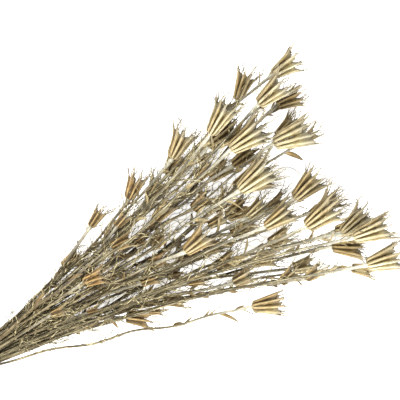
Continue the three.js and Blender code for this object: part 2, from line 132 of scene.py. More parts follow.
# The stems, layer by layer from the floor up, and in each layer from -Y to +Y. Each row is reach from tie
# to pod, fan angle, turn of the pod off its stalk and pod length. A stem's later rows are side branches.
LAYERS = [
    [
        [(377, -13.4, -24, 20)],
        [(212, -4.5, -6, 17), (229, -2.4, -1, 18)],
        [(280, 3.0, 9, 18)],
        [(262, 9.0, -10, 19), (283, 8.9, 7, 20)],
        [(294, 15.3, -10, 19), (136, 15.5, -8, 20)],
    ],
    [
        [(366, -10.4, -20, 29), (324, -10.5, -3, 20)],
        [(312, -7.1, 5, 22), (290, -8.3, -8, 24)],
        [(283, -1.5, -4, 23), (322, 0.0, 6, 22)],
        [(307, 3.2, 2, 21), (167, 2.8, -9, 16), (287, 0.9, 2, 24)],
        [(385, 10.8, -16, 25), (319, 8.6, -2, 26), (371, 12.4, 4, 20)],
        [(266, 14.6, 16, 21), (286, 15.0, 6, 18)],
    ],
    [
        [(310, -13.2, 26, 18)],
        [(203, -11.8, -17, 18), (187, -12.4, -8, 13)],
        [(373, -8.5, -8, 25)],
        [(364, -4.7, 4, 25), (253, -3.3, 0, 18)],
        [(381, 3.8, 4, 18), (204, 0.6, -14, 17), (368, 8.9, 2, 24)],
        [(293, 6.4, 2, 23), (215, 4.8, 18, 16), (264, 5.4, 6, 20)],
        [(237, 12.8, 19, 22)],
    ],
    [
        [(333, -13.4, 18, 17)],
        [(164, -11.7, -22, 23)],
        [(257, -6.6, 8, 22), (229, -8.0, -6, 16)],
        [(304, -0.5, 13, 22), (269, 1.0, 0, 18)],
        [(317, 2.2, -8, 24)],
        [(310, 11.8, -6, 33), (202, 7.0, -9, 14)],
        [(358, 14.0, 27, 27)],
        [(225, 16.3, 22, 23), (182, 18.4, 9, 18)],
    ],
    [
        [(279, -16.3, -5, 28)],
        [(268, -10.4, 9, 19)],
        [(376, -8.1, 21, 30)],
        [(350, -1.3, 16, 29), (189, -3.0, -7, 17)],
        [(231, 9.2, 9, 21), (132, 9.5, 0, 13)],
        [(398, 13.2, -8, 27)],
        [(280, 16.2, 18, 28)],
    ],
    [
        [(390, -14.1, 2, 32)],
        [(349, -7.0, 15, 34)],
        [(314, -3.3, 8, 30), (132, -4.0, -6, 13)],
        [(360, 7.6, -16, 35), (215, 4.0, 16, 16)],
        [(324, 9.3, -5, 37), (144, 7.2, -14, 20)],
        [(371, 12.6, -1, 30), (200, 13.6, 7, 15)],
    ],
    [
        [(385, -10.0, 1, 35)],
        [(238, -1.3, 12, 27), (102, 2.0, -10, 14)],
        [(310, 4.7, 6, 35)],
        [(183, 8.6, -11, 20)],
        [(320, 14.1, 16, 32)],
    ],
]


def chance(strand, trait):
    """A number from 0 to 1 that depends only on which strand and which trait it is drawn for."""
    h = ((strand * 131 + trait * 7919 + 2024) * 2654435761) & 0xFFFFFFFF
    h ^= h >> 15
    h = (h * 2246822519) & 0xFFFFFFFF
    h ^= h >> 13
    return h / 4294967296


def draws(strand, first):
    """The draws of one feature of a strand, whose traits are counted from first on."""
    def draw(trait):
        return chance(strand.index, first + trait)
    return draw


def between(low, high, share):
    return low + (high - low) * share


def unit(v):
    return v / np.linalg.norm(v)


def across(axis):
    """Two directions square to an axis."""
    u = unit(np.cross(axis, (0.0, 0.0, 1.0)))
    return u, np.cross(axis, u)


TIE_INNER = (len(LAYERS[3]) - 1) / 2 * STALK_PITCH + FOOT_RADIUS + TIE_CLEARANCE
FLOOR = -(TIE_INNER + 0.46 * TWINE_DIAMETER)


class Strand:
    """A stalk or a side branch with the pod at its end."""

    def __init__(self, index, level, order, parent, row, slot):
        reach, fan, turn, length = row
        self.index, self.level, self.parent, self.length = index, level, parent, length
        self.slot_y, self.slot_z = slot
        self.end_x = reach * math.cos(fan * DEGREE)
        self.end_y = reach * math.sin(fan * DEGREE)
        self.mouth = MOUTH_RADIUS * length * between(0.88, 1.12, chance(index, 4))
        on_floor = level == 0 and not order
        lift = level / (len(LAYERS) - 1) * SPREAD_DEPTH * (self.end_x / SPREAD_REACH)
        standing = LOWEST_STALK + lift + (BRANCH_RISE if order else 0)
        self.end_z = FLOOR + (LYING_POD * self.mouth if on_floor else standing)
        self.bow = 0 if order else between(-SIDE_BOW, SIDE_BOW, chance(index, 1)) - EDGE_DRAW * fan
        self.arch = 0 if order else between(-UP_BOW, UP_BOW, chance(index, 8))
        self.wave = 0 if order else between(-WAVE, WAVE, chance(index, 9))
        self.waves = between(1.6, 3.2, chance(index, 10))
        fork_x = self.end_x - between(55, 80, chance(index, 2))
        self.start_x = max(STATION, math.floor(fork_x / STATION + 0.5) * STATION) if order else 0
        self.turned = (fan + turn) * DEGREE
        self.rise = 0 if on_floor else between(-12, 12, chance(index, 3)) * DEGREE
        self.first = round(self.start_x / STATION)
        self.pod_slice = math.ceil(self.end_x / STATION)
        self.last = math.ceil((self.end_x + length * math.cos(self.turned) * POD_REACH) / STATION)
        self.dy = np.zeros(SLICES)
        self.dz = np.zeros(SLICES)

    def room_at(self, x):
        """Radius of the room that the strand takes at distance x along the bunch."""
        along = (x - self.end_x) / (self.length * math.cos(self.turned))
        if along <= 0:
            return between(FOOT_RADIUS, NECK_RADIUS, x / self.end_x) + (0.6 if along > -0.25 else 0)
        flare = 0.25 + 1.2 * along if along < 0.15 else 0.43 + 0.72 * (along - 0.15)
        return self.mouth * min(1.12, flare) / math.cos(self.turned)

    def route_at(self, x):
        """The strand's y and z before its neighbours push it aside."""
        if x > self.end_x:
            past = x - self.end_x
            return self.end_y + past * math.tan(self.turned), self.end_z + past * math.tan(self.rise)
        if self.parent:
            y, z = self.parent.route_at(self.start_x)
            t = (x - self.start_x) / (self.end_x - self.start_x)
            return between(y, self.end_y, t), between(z, self.end_z, t)
        t = share_of_way(x) / share_of_way(self.end_x)
        free = 4 * t * (1 - t)
        aside = free * (self.bow + self.wave * math.sin(2 * math.pi * self.waves * t))
        y = between(self.slot_y, self.end_y, t) + aside
        return y, between(self.slot_z, self.end_z, t) + free * self.arch

    def middle_at(self, x):
        """A point of the strand's middle line after the bunch is laid out."""
        f = min(max(x / STATION, self.first), self.last)
        j = min(math.floor(f), self.last - 1)
        y, z = self.route_at(x)
        return np.array((
            x,
            y + between(self.dy[j], self.dy[j + 1], f - j),
            z + between(self.dz[j], self.dz[j + 1], f - j),
        ))

    def pod_base(self):
        y, z = self.route_at(self.end_x)
        return np.array((self.end_x, y + self.dy[self.pod_slice], z + self.dz[self.pod_slice]))

    def pod_axis(self):
        return unit(np.array((1.0, math.tan(self.turned), math.tan(self.rise))))

    def radius_at(self, x):
        foot = NECK_RADIUS + 0.1 if self.parent else FOOT_RADIUS
        return between(foot, NECK_RADIUS, min(1, x / self.end_x))


def share_of_way(x):
    """Grows with the distance past the tie, slowly at first, because the tie holds the stalks parallel."""
    past = max(0, x - TIE_HALF - 1)
    return past * past / (past + TIE_EASE)


def strands_of_bunch():
    """Every stalk with its branches after it, numbered as the solids number them."""
    strands = []
    for level, layer in enumerate(LAYERS):
        for place, rows in enumerate(layer):
            slot_y = (place - (len(layer) - 1) / 2) * STALK_PITCH
            slot_z = (level - (len(LAYERS) - 1) / 2) * ROW_PITCH
            main = None
            for order, row in enumerate(rows):
                strand = Strand(len(strands), level, order, main, row, (slot_y, slot_z))
                strands.append(strand)
                main = main or strand
    return strands


def lay_out(strands):
    """Moves the strands apart, slice by slice, until none touches another, and keeps each smooth."""
    count = len(strands)
    slices = np.arange(SLICES)
    first = np.array([s.first for s in strands])[:, None]
    last = np.array([s.last for s in strands])[:, None]
    pod_slice = np.array([s.pod_slice for s in strands])[:, None]
    cos_turned = np.array([math.cos(s.turned) for s in strands])[:, None]
    there = (slices >= first) & (slices <= last)
    room = np.array([[s.room_at(j * STATION) for j in slices] for s in strands]) * there
    start = np.array([[s.route_at(j * STATION) for j in slices] for s in strands])
    y0, z0 = start[..., 0], start[..., 1]
    dy, dz = np.zeros((count, SLICES)), np.zeros((count, SLICES))
    movable = there & (slices >= FREE_SLICE)
    in_pod = there & (slices >= pod_slice)
    children = [s.index for s in strands if s.parent]
    parents = [strands[c].parent.index for c in children]
    forks = [strands[c].first for c in children]

    meets = movable[:, None] & movable[None]
    meets[np.arange(count), np.arange(count)] = False
    for c, p, fork in zip(children, parents, forks):
        meets[c, p] &= slices >= fork + OWN_SLICES
        meets[p, c] &= slices >= fork + OWN_SLICES
    one, other, at = np.nonzero(meets)
    gap = FOOT_GAP + (GAP - FOOT_GAP) * np.minimum(1, at * STATION / GAP_REACH)
    reach = room[one, at] + room[other, at] + gap
    share = room[other, at] / (room[one, at] + room[other, at])
    cell = one * SLICES + at
    ease_y = np.where(in_pod, POD_SIDEWAYS, 1.0)
    smoothed = (slices > first) & (slices <= last) & (slices >= FREE_SLICE)
    at_end = slices >= last
    floor_gap = np.where(in_pod, POD_PRESS, -0.2)
    depth = room * np.where(in_pod, cos_turned, 1.0)
    pod_count = in_pod.sum(axis=1, keepdims=True)

    for turn in range(ROUNDS):
        y, z = y0 + dy, z0 + dz
        apart_y = y[one, at] - y[other, at]
        apart_z = z[one, at] - z[other, at]
        d = np.sqrt(apart_y**2 + apart_z**2) + 1e-9
        push = np.maximum(reach - d, 0) * share / d
        push_y = np.bincount(cell, push * apart_y, count * SLICES).reshape(count, SLICES)
        push_z = np.bincount(cell, push * apart_z, count * SLICES).reshape(count, SLICES)
        dy += np.where(movable, PUSH * ease_y * push_y, 0)
        dz += np.where(movable, PUSH * push_z, 0)
        weight = between(STIFF_AT_FIRST, STIFF_AT_LAST, turn / ROUNDS)
        for d in (dy, dz):
            before = np.roll(d, 1, axis=1)
            after = np.where(at_end, d, np.roll(d, -1, axis=1))
            d[smoothed] = between(d, (before + after) / 2, weight)[smoothed]
            d[children, forks] = d[parents, forks]
            mean = (d * in_pod).sum(axis=1, keepdims=True) / pod_count
            d[in_pod] = np.broadcast_to(mean, d.shape)[in_pod]
        under = np.where(movable, FLOOR - floor_gap - (z0 + dz - depth), 0)
        dz += np.where(in_pod, 0, np.maximum(under, 0))
        lift = np.maximum((under * in_pod).max(axis=1, keepdims=True), 0)
        dz += np.where(in_pod, lift, 0)
    for s in strands:
        s.dy, s.dz = dy[s.index], dz[s.index]


def leaf_roots(s):
    """Where thread leaves spring from a strand, as distances along the bunch."""
    roots = [s.end_x - 0.35 * s.length]
    start = s.start_x + 12 if s.parent else 70
    x = start + LEAF_SPACING * chance(s.index, 7)
    while x < s.end_x - 50:
        roots.append(x)
        x += LEAF_SPACING
    return roots


def leaf_aim(s, x, draw):
    """Root, direction and length of one thread leaf."""
    root = s.middle_at(x)
    along = unit(s.middle_at(x + 4) - root)
    u, v = across(along)
    turn = 2 * math.pi * draw(0)
    lean = between(14, 40, draw(1)) * DEGREE
    aim = along * math.cos(lean) + math.sin(lean) * (u * math.cos(turn) + v * math.sin(turn))
    return root, aim, between(12, 26, draw(2))


def is_clear(root, aim, length, own, strands):
    """Whether a leaf passes clear of every other stem and of the floor."""
    steps = 9
    for i in range(1, steps + 1):
        p = root + aim * (length * i / steps)
        if p[2] < FLOOR + LEAF_RADIUS:
            return False
        for o in strands:
            if o is own or o.parent is own or own.parent is o:
                continue
            first = o.start_x if o.parent else 0
            end = o.end_x + 1.3 * o.length * math.cos(o.turned)
            if p[0] < first or p[0] > end:
                continue
            m = o.middle_at(p[0])
            if math.hypot(p[1] - m[1], p[2] - m[2]) <= o.room_at(p[0]) + LEAF_RADIUS + LEAF_CLEARANCE:
                return False
    return True


# Where the frame holds the middle of the tie, which is the origin of the working frame.
tie_low, tie_high = (np.array(corner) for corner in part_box("twine_tie"))
SHIFT = np.array((*(tie_low + tie_high)[:2] / 2 / MM, -FLOOR))
HEADROOM = 7
CEILING = FLOOR + cad_box[1][2] / MM + HEADROOM  # no thread curls higher


class Piece:
    """Gathers grids of points into one mesh, with a place and a tone for the materials at each point.

    place is how far across, how far along and a number of its own; on a pod how far across also sets its
    painted shade in the grooves and at the inner edges. tone is how brown and how orange, and then how pale
    on a stalk or how grey on a thread; a pod's brown also holds painted shade on the side away from the key
    light.
    """

    def __init__(self, name):
        self.name = name
        self.points, self.faces, self.slots, self.places, self.tones = [], [], [], [], []
        self.count = 0

    def grid(self, points, place, tone, slot):
        """A closed tube through rings of points, an array of rings by points by 3."""
        rings, sides = points.shape[:2]
        base = self.count
        index = base + np.arange(rings * sides).reshape(rings, sides)
        a, b = index[:-1], np.roll(index, -1, axis=1)[:-1]
        c, d = np.roll(index, -1, axis=1)[1:], index[1:]
        quads = np.stack([a, b, c, d], axis=-1).reshape(-1, 4)
        ends = [index[0, ::-1].tolist(), index[-1].tolist()]
        self.faces += quads.tolist() + ends
        self.slots += [slot] * (len(quads) + len(ends))
        self.points.append(points.reshape(-1, 3))
        self.places.append(np.broadcast_to(place, points.shape).reshape(-1, 3))
        self.tones.append(np.broadcast_to(tone, points.shape).reshape(-1, 3))
        self.count += rings * sides

    def make(self, materials):
        """The Blender object, in metres in the part's frame."""
        mesh = bpy.data.meshes.new(self.name)
        points = (np.concatenate(self.points) + SHIFT) * MM
        points[:, 2] = np.maximum(points[:, 2], 0.0)
        mesh.from_pydata(points.tolist(), [], self.faces)
        mesh.polygons.foreach_set("material_index", self.slots)
        mesh.polygons.foreach_set("use_smooth", [True] * len(self.faces))
        for key, values in (("place", self.places), ("tone", self.tones)):
            layer = mesh.attributes.new(key, "FLOAT_VECTOR", "POINT")
            layer.data.foreach_set("vector", np.concatenate(values).astype(np.float32).ravel())
        for material in materials:
            mesh.materials.append(material)
        mesh.update()
        made = bpy.data.objects.new(self.name, mesh)
        bpy.context.scene.collection.objects.link(made)
        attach(made, "root")
        return made


STALK_SLOT, POD_SLOT, LEAF_SLOT = range(3)
TWINE_SLOT = 0


def frames_along(path):
    """Tangents and two square directions at each point of a path, turning as little as they can."""
    tangents = np.gradient(path, axis=0)
    tangents /= np.linalg.norm(tangents, axis=1, keepdims=True)
    u = np.empty_like(path)
    u[0] = across(tangents[0])[0]
    for i in range(1, len(path)):
        u[i] = unit(u[i - 1] - tangents[i] * np.dot(u[i - 1], tangents[i]))
    return tangents, u, np.cross(tangents, u)


def tube_points(path, radii, sides, ribs=0.0):
    """Rings of a round tube along a path, its sides ribbed lengthwise where ribs is above 0."""
    _, u, v = frames_along(path)
    angle = 2 * math.pi * np.arange(sides) / sides
    ribbed = 1 + ribs * np.cos(math.pi * np.arange(sides))
    wide = (radii[:, None] * ribbed[None])[..., None]
    around = np.cos(angle)[None, :, None] * u[:, None] + np.sin(angle)[None, :, None] * v[:, None]
    return path[:, None] + wide * around


def smooth_path(knots, step):
    """A Catmull-Rom curve through knots, with a point about every step."""
    knots = np.array(knots)
    padded = np.vstack([2 * knots[0] - knots[1], knots, 2 * knots[-1] - knots[-2]])
    made = []
    for i in range(1, len(padded) - 2):
        p0, p1, p2, p3 = padded[i - 1 : i + 3]
        pieces = max(1, round(np.linalg.norm(p2 - p1) / step))
        for t in np.arange(pieces) / pieces:
            made.append(0.5 * (
                2 * p1 + (p2 - p0) * t + (2 * p0 - 5 * p1 + 4 * p2 - p3) * t * t
                + (3 * p1 - 3 * p2 + p3 - p0) * t**3
            ))
    made.append(padded[-2])
    return np.array(made)


STALK_SIDES = 10
STALK_STEP = 3.0
STALK_RIBS = 0.07  # of the stalk's radius
STALK_FULLNESS = (1.05, 1.35)  # a fine stalk's radius as a share of its solid's
TAIL_RAGGED = 16  # how much further than TAIL_LENGTH a stalk can reach below the tie
NODE_SWELL = 0.45  # where a thread leaf springs from the stalk
NODE_REACH = 2.2
BIG_STALK = 30  # pods this long thicken and bleach the stalk under them in full, shorter ones less
CUP = (0.5, 6)  # how much the stalk swells into its pod, and over what length
NECK = (0.7, 26)  # the same for the slow swelling further down
PALE_REACH = 25  # how far down the bleaching goes


def add_stalk(piece, s, tone):
    """The stalk from its cut foot, or from its fork, to the pod that it swells into."""
    knots = []
    if not s.parent:
        tail = TAIL_LENGTH + TAIL_RAGGED * chance(s.index, 5)
        spread = 1 + TAIL_SPREAD
        knots.append((-tail, s.slot_y * spread, s.slot_z * spread))
        half_way = 1 + TAIL_SPREAD * 0.45
        knots.append((-0.5 * tail, s.slot_y * half_way, s.slot_z * half_way))
        knots.append((-TIE_HALF - 4, s.slot_y, s.slot_z))
    for j in range(s.first, s.pod_slice):
        if j * STATION < s.end_x - 0.2 * s.length:
            knots.append(s.middle_at(j * STATION))
    knots.append(s.pod_base() + s.pod_axis() * 0.04 * s.length)
    path = smooth_path(knots, STALK_STEP)
    x = path[:, 0]
    left = np.concatenate([np.cumsum(np.linalg.norm(np.diff(path[::-1], axis=0), axis=1))[::-1], [0.0]])
    radii = np.array([s.radius_at(max(0, p)) for p in x])
    radii *= between(*STALK_FULLNESS, chance(s.index, 11))
    big = min(1.0, s.length / BIG_STALK)
    for swell, swell_reach in (CUP, NECK):
        radii += swell * big * np.exp(-left / swell_reach)
    for root in leaf_roots(s)[1:]:
        radii += NODE_SWELL * np.exp(-(((x - root) / NODE_REACH) ** 2))
    points = tube_points(path, radii, STALK_SIDES, STALK_RIBS)
    place = np.zeros(points.shape)
    place[..., 0] = np.arange(STALK_SIDES)[None] / STALK_SIDES
    place[..., 1] = left[:, None] / 100
    place[..., 2] = chance(s.index, 12)
    tones = np.zeros(points.shape)
    tones[...] = tone
    tones[..., 2] = (big * np.exp(-left / PALE_REACH))[:, None]
    piece.grid(points, place, tones, STALK_SLOT)


FOLLICLE_RINGS = 24
FEWEST_FOLLICLES = 5
MOST_FOLLICLES = 10
LENGTH_PER_FOLLICLE = 3.2
POD_FULLNESS = 1.05  # a fine pod's mouth as a share of its solid's
BIG_POD = 27  # shorter pods are rounder, and fully so when they are shorter by ROUNDER_OVER
ROUNDER_OVER = 6
PAINTED_SHADE_SIDE = unit(np.array((0.15, 0.95, 0.1)))  # the side turned away from the key light, where follicles are painted browner as shade
# how much browner a follicle facing that side is painted, as shade
PAINTED_SHADE_BROWN = 0.55
MOST_TONED = 0.9  # nothing is browner or more orange than this


def follicles_of(s):
    """A fine pod has more follicles than its solid, close enough for their keels to meet at the base."""
    count = math.floor(s.length / LENGTH_PER_FOLLICLE + 0.5)
    return max(FEWEST_FOLLICLES, min(MOST_FOLLICLES, count))


def keel_radius(h, small, recurve):
    """Radius of the follicles' backs at height h, as a share of the mouth's. Small pods are rounder."""
    blunt = np.sqrt(np.clip(1 - (1 - np.minimum(h / 0.1, 1)) ** 2, 0, 1))
    flare = between(0.42 + 0.53 * h, 0.56 + 0.36 * h, small)
    return flare * blunt + recurve * np.clip((h - 0.66) / 0.34, 0, 1) ** 2


def browner(tone, amount):
    """A tone with more brown in it, up to MOST_TONED."""
    return np.minimum(tone + np.array((amount, 0.0, 0.0)), MOST_TONED)


def add_pod(piece, s, tone):
    """A pod's follicles and their hairs, side by side round the pod's axis."""
    count = follicles_of(s)
    base, axis = s.pod_base(), s.pod_axis()
    u, v = across(axis)
    roll = chance(s.index, 6) * 2 * math.pi
    for k in range(count):
        draw = draws(s, FOLLICLE_TRAITS + 20 * k)
        angle = roll + k * 2 * math.pi / count + between(-0.06, 0.06, draw(0))
        outward = u * math.cos(angle) + v * math.sin(angle)
        sideways = -u * math.sin(angle) + v * math.cos(angle)
        ways = (base, axis, outward, sideways)
        # Painted shade: a follicle facing away from the key light is browner. The random part is the pod's
        # own browning.
        shade_and_browning = PAINTED_SHADE_BROWN * max(0.0, float(np.dot(outward, PAINTED_SHADE_SIDE))) + 0.5 * draw(13) ** 3
        add_follicle(piece, s, ways, count, draw, browner(tone, shade_and_browning))
        add_hairs(piece, s, ways, k, tone)


def follicle_columns(h, count, length, draw):
    """Half of a follicle's section at each height h, from its keel inward.

    A column is its radius, its half width and, for the material, how far from the keel it is, which also
    sets
    painted shade: near 1 in the grooves where the flanks meet and at the inner edges. Radii and widths are
    shares of the mouth's radius. ridge is the radius of the keel's rounded back.
    """
    small = np.clip((BIG_POD - length) / ROUNDER_OVER, 0, 1)
    keel = keel_radius(h, small, between(-0.02, 0.24, draw(2) ** 1.5))
    step = math.tan(math.pi / count)
    free = np.clip((h - 0.56) / 0.3, 0, 1)  # 0 where the flanks meet their neighbours, 1 where they don't
    free = free * free * (3 - 2 * free)
    ridge = np.minimum(0.8 * keel * step, between(0.085, 0.1, draw(3)))
    valley = keel * between(0.82, 0.58, np.clip(h / 0.7, 0, 1))
    waist = np.maximum(keel - 1.9 * ridge, between(valley, keel, 0.3))
    waist_half = ridge * between(0.8, 0.72, free)
    inner = np.minimum(between(0.04, 0.24, free), valley * 0.8)
    belly = between(valley, between(inner, waist, 0.55), free)
    belly_half = between(0.99 * valley * step, between(0.14, 0.2, draw(4)), free)
    inner_half = between(np.minimum(0.05, 0.8 * inner * step), 0.1, free)

    # The keel's round back, then the waist behind it, the belly of the flank and its inner edge.
    columns = []
    for turn in np.radians([0, 32, 64, 96]):
        columns.append((keel - ridge + ridge * math.cos(turn), ridge * math.sin(turn), 0.17 * turn))
    # The third values reach 0.8 to 1 where the flanks meet and at the inner edge: painted groove shade.
    columns.append((waist, waist_half, between(0.8, 0.42, free)))
    columns.append((belly, belly_half, between(1.0, 0.55, free)))
    columns.append((inner, inner_half, between(1.0, 0.7, free)))
    columns.append((inner + 0.4 * (belly - inner) * free, inner_half * 0.35, 1.0))
    return columns, ridge


def add_follicle(piece, s, ways, count, draw, tone):
    """One follicle: a rounded keel outside and thin flanks behind it. Low down the flanks meet their
    neighbours in a groove. Above they are free, stand open and end aslant."""
    base, axis, outward, sideways = ways
    m, length = POD_FULLNESS * s.mouth, s.length
    h = np.linspace(0, 1, FOLLICLE_RINGS) ** 0.9
    reach = between(0.93, 1.06, draw(1))
    columns, ridge = follicle_columns(h, count, length, draw)
    mirrored = columns[:0:-1]
    radius = np.stack([c[0] for c in columns + mirrored], axis=1)
    half = np.stack([c[1] for c in columns] + [-c[1] for c in mirrored], axis=1)
    # side: how far from the keel, and also painted shade, darkest in the grooves and at the inner edges
    side = np.stack([c[2] * np.ones(len(h)) for c in columns + mirrored], axis=1)
    sign = np.sign(half[-1])

    # The top slants down from the keel inward, a little differently on each flank.
    inward = np.array([0, 0, 0, 0, 0.1, 0.5, 0.8, 1.0])
    inward = np.concatenate([inward, inward[:0:-1]])
    top = np.clip((h - 0.6) / 0.4, 0, 1)[:, None] ** 1.5
    ragged = np.where(sign > 0, draw(5), draw(6)) * (inward > 0)
    height = reach * h[:, None] - top * (0.15 * inward + 0.09 * ragged)[None]
    curl = between(-0.08, 0.08, draw(7)) * np.clip((h - 0.5) / 0.5, 0, 1) ** 2
    half = half + curl[:, None]

    points = (
        base
        + axis * (height * length)[..., None]
        + outward * (radius * m)[..., None]
        + sideways * (half * m)[..., None]
    )
    place = np.zeros(points.shape)
    place[..., 0] = side
    place[..., 1] = h[:, None]
    place[..., 2] = draw(8) * 3 + sign[None] * 0.5
    piece.grid(points, place, tone, POD_SLOT)
    tip = points[-1, 0] - outward * ridge[-1] * m - axis * 0.02 * length
    add_beak(piece, tip, (axis, outward, sideways), ridge[-1] * m, length, draw, tone)


BEAK_RINGS = 9
BEAK_SIDES = 6
BEAK_LENGTH = (0.2, 0.5)  # of the pod's length
STYLE_RADII = (0.34, 0.2)


def add_beak(piece, tip, ways, fat, length, draw, tone):
    """The follicle's tip narrows into a short horn and a thin dry style that curves away."""
    axis, outward, sideways = ways
    lean = between(-0.4, 0.4, draw(9))
    hook = between(-0.2, 0.6, draw(10))
    reach = between(*BEAK_LENGTH, draw(11)) * length
    t = np.linspace(0, 1, BEAK_RINGS)[:, None]
    path = tip + axis * (t * reach) + outward * ((0.25 * t + hook * t**2) * reach)
    path = path + sideways * ((lean * t**2 + 0.08 * t * np.sin(8 * t + 6 * draw(12))) * reach)
    radii = np.interp(t[:, 0], [0, 0.25, 0.45, 1], [fat * 0.8, fat * 0.35, *STYLE_RADII])
    points = tube_points(path, radii, BEAK_SIDES)
    place = np.zeros(points.shape)
    place[..., 0] = 0.2
    place[..., 1] = 1 + 0.5 * t
    place[..., 2] = draw(8)
    piece.grid(points, place, tone, POD_SLOT)


HAIRS = 2  # out of each follicle
HAIR_LENGTH = (8, 19)
HAIR_CURL = 0.35
GREY_HAIRED = 21  # pods longer than this have grey hairs
GREY_HAIR = 0.85
PALE_HAIR = 0.1
FINE_THREAD = 0.36  # radius of hairs and of the thread leaves that the solids leave out


def add_hairs(piece, s, ways, k, tone):
    """Long dry hairs that stand out of a follicle's open mouth, grey on big pods and pale on small ones."""
    base, axis, outward, sideways = ways
    m, length = POD_FULLNESS * s.mouth, s.length
    hair_tone = (tone[0], tone[1], GREY_HAIR if length > GREY_HAIRED else PALE_HAIR)
    for n in range(HAIRS):
        draw = draws(s, HAIR_TRAITS + 40 * k + 20 * n)
        root = base + axis * (between(0.74, 0.9, draw(8)) * length)
        root = root + outward * (between(0.45, 0.85, draw(9)) * m)
        aim = unit(axis + outward * between(0.0, 0.8, draw(10)) + sideways * between(-0.4, 0.4, draw(11)))
        hair_length = between(*HAIR_LENGTH, draw(12))
        add_thread(piece, root, aim, hair_length, FINE_THREAD, HAIR_CURL, draw, hair_tone)


THREAD_RINGS = 10
THREAD_SIDES = 5


def add_thread(piece, root, aim, length, radius, curl, draw, tone):
    """A dry thread leaf or a hair, bent to one side and a little wavy."""
    u, v = across(aim)
    curve = between(-curl, curl, draw(3))
    swing = between(-curl, curl, draw(4))
    t = np.linspace(0, 1, THREAD_RINGS)[:, None]
    phase = 6 * draw(6)
    wobble = 0.25 * curl * t * (np.sin(between(5, 12, draw(5)) * t + phase) - math.sin(phase))
    path = root + aim * (t * length) + u * ((curve * t**2 + wobble) * length)
    path = path + v * ((swing * t**2 - wobble * 0.7) * length)
    path[:, 2] = np.clip(path[:, 2], FLOOR + radius, CEILING)
    radii = radius * np.interp(t[:, 0], [0, 0.1, 1], [1.2, 1.0, 0.6])
    points = tube_points(path, radii, THREAD_SIDES)
    place = np.zeros(points.shape)
    place[..., 1] = t
    place[..., 2] = draw(7)
    piece.grid(points, place, tone, LEAF_SLOT)


MAIN_THREAD = 0.45  # radius of the thread leaves that the solids have too
MAIN_CURL = 0.25
THREAD_CURL = 0.45
THREAD_SPACING = 20
THREAD_STRETCH = (0.7, 1.9)  # a fine thread's length as a share of a main one's
THREADS_START = 55


def add_leaves(piece, s, strands, tone):
    """Thread leaves, first those that the solids have and then finer, curlier ones all along the stalk."""
    for spot, x in enumerate(leaf_roots(s)):
        for n in range(LEAVES_IN_TUFT):
            draw = draws(s, LEAF_TRAITS + 40 * spot + 10 * n)
            root, aim, length = leaf_aim(s, x + 3 * n, draw)
            if is_clear(root, aim, length, s, strands):
                add_thread(piece, root, aim, length, MAIN_THREAD, MAIN_CURL, draw, tone)
    x = s.start_x + 14 if s.parent else THREADS_START
    spot = 0
    while x < s.end_x - 4:
        for n in range(1 + int(4 * chance(s.index, 900 + spot) ** 2)):
            draw = draws(s, THREAD_TRAITS + 200 * spot + 20 * n)
            root, aim, length = leaf_aim(s, x + 2 * n, draw)
            length *= between(*THREAD_STRETCH, draw(8))
            add_thread(piece, root, aim, length, FINE_THREAD, THREAD_CURL, draw, tone)
        x += THREAD_SPACING * between(0.6, 1.4, chance(s.index, 950 + spot))
        spot += 1


HUSKS = 8  # tried on each strand, of which some are left out
HUSK_SPARED = 0.35  # share of them that is left out
HUSK_REACH = (6, 110)  # how far below the pod
HUSK_FREE = 70  # no husk is nearer than this to the strand's start
HUSK_LENGTH = (8, 20)
HUSK_HALF_WIDTH = (0.9, 2.5)
HUSK_HALF_THICKNESS = 0.22
HUSK_CUP = 0.35  # of its half width
HUSK_RINGS = 12
HUSK_SIDES = 10
HUSK_BROWN = 0.5


def add_husks(piece, s, tone):
    """Bent and twisted scraps of dry leaf and old pod wall that cling to the stalk below its pod."""
    for n in range(HUSKS):
        draw = draws(s, HUSK_TRAITS + 40 * n)
        x = s.end_x - between(*HUSK_REACH, draw(11) ** 1.3)
        if x < s.start_x + HUSK_FREE or draw(12) < HUSK_SPARED:
            continue
        root, aim, _ = leaf_aim(s, x, draw)
        u, v = across(aim)
        length = between(*HUSK_LENGTH, draw(13))
        t = np.linspace(0, 1, HUSK_RINGS)[:, None]
        bend = between(-0.5, 0.5, draw(15))
        path = root + aim * (t * length) + u * (bend * t**2 * length) + v * (0.12 * np.sin(5 * t) * length)
        path[:, 2] = np.maximum(path[:, 2], FLOOR + 1)
        _, flat, thick = frames_along(path)
        turn = np.radians(between(-70, 70, draw(16)) * t + 360 * draw(17))
        flat, thick = flat * np.cos(turn) + thick * np.sin(turn), thick * np.cos(turn) - flat * np.sin(turn)
        angle = 2 * math.pi * np.arange(HUSK_SIDES) / HUSK_SIDES
        half_width = between(*HUSK_HALF_WIDTH, draw(14))
        outline = half_width * np.sin(math.pi * np.clip(t * 0.92 + 0.04, 0, 1)) ** 0.7
        cupped = HUSK_CUP * outline * np.cos(angle)[None] ** 2
        points = path[:, None] + flat[:, None] * (outline * np.cos(angle)[None])[..., None]
        raised = HUSK_HALF_THICKNESS * np.sin(angle)[None] + cupped
        points = points + thick[:, None] * raised[..., None]
        place = np.zeros(points.shape)
        place[..., 0] = 0.25 + 0.3 * np.abs(np.cos(angle))[None]
        place[..., 1] = 0.5 + 0.4 * t
        place[..., 2] = 5 * draw(18)
        piece.grid(points, place, browner(tone, HUSK_BROWN), POD_SLOT)


def rgb(r, g, b):
    """A colour seen on a screen, 0 to 255, as the linear values that a shader takes."""
    def linear(c):
        c /= 255
        return c / 12.92 if c <= 0.04045 else ((c + 0.055) / 1.055) ** 2.4
    return linear(r), linear(g), linear(b), 1.0


WHITE = rgb(255, 255, 255)


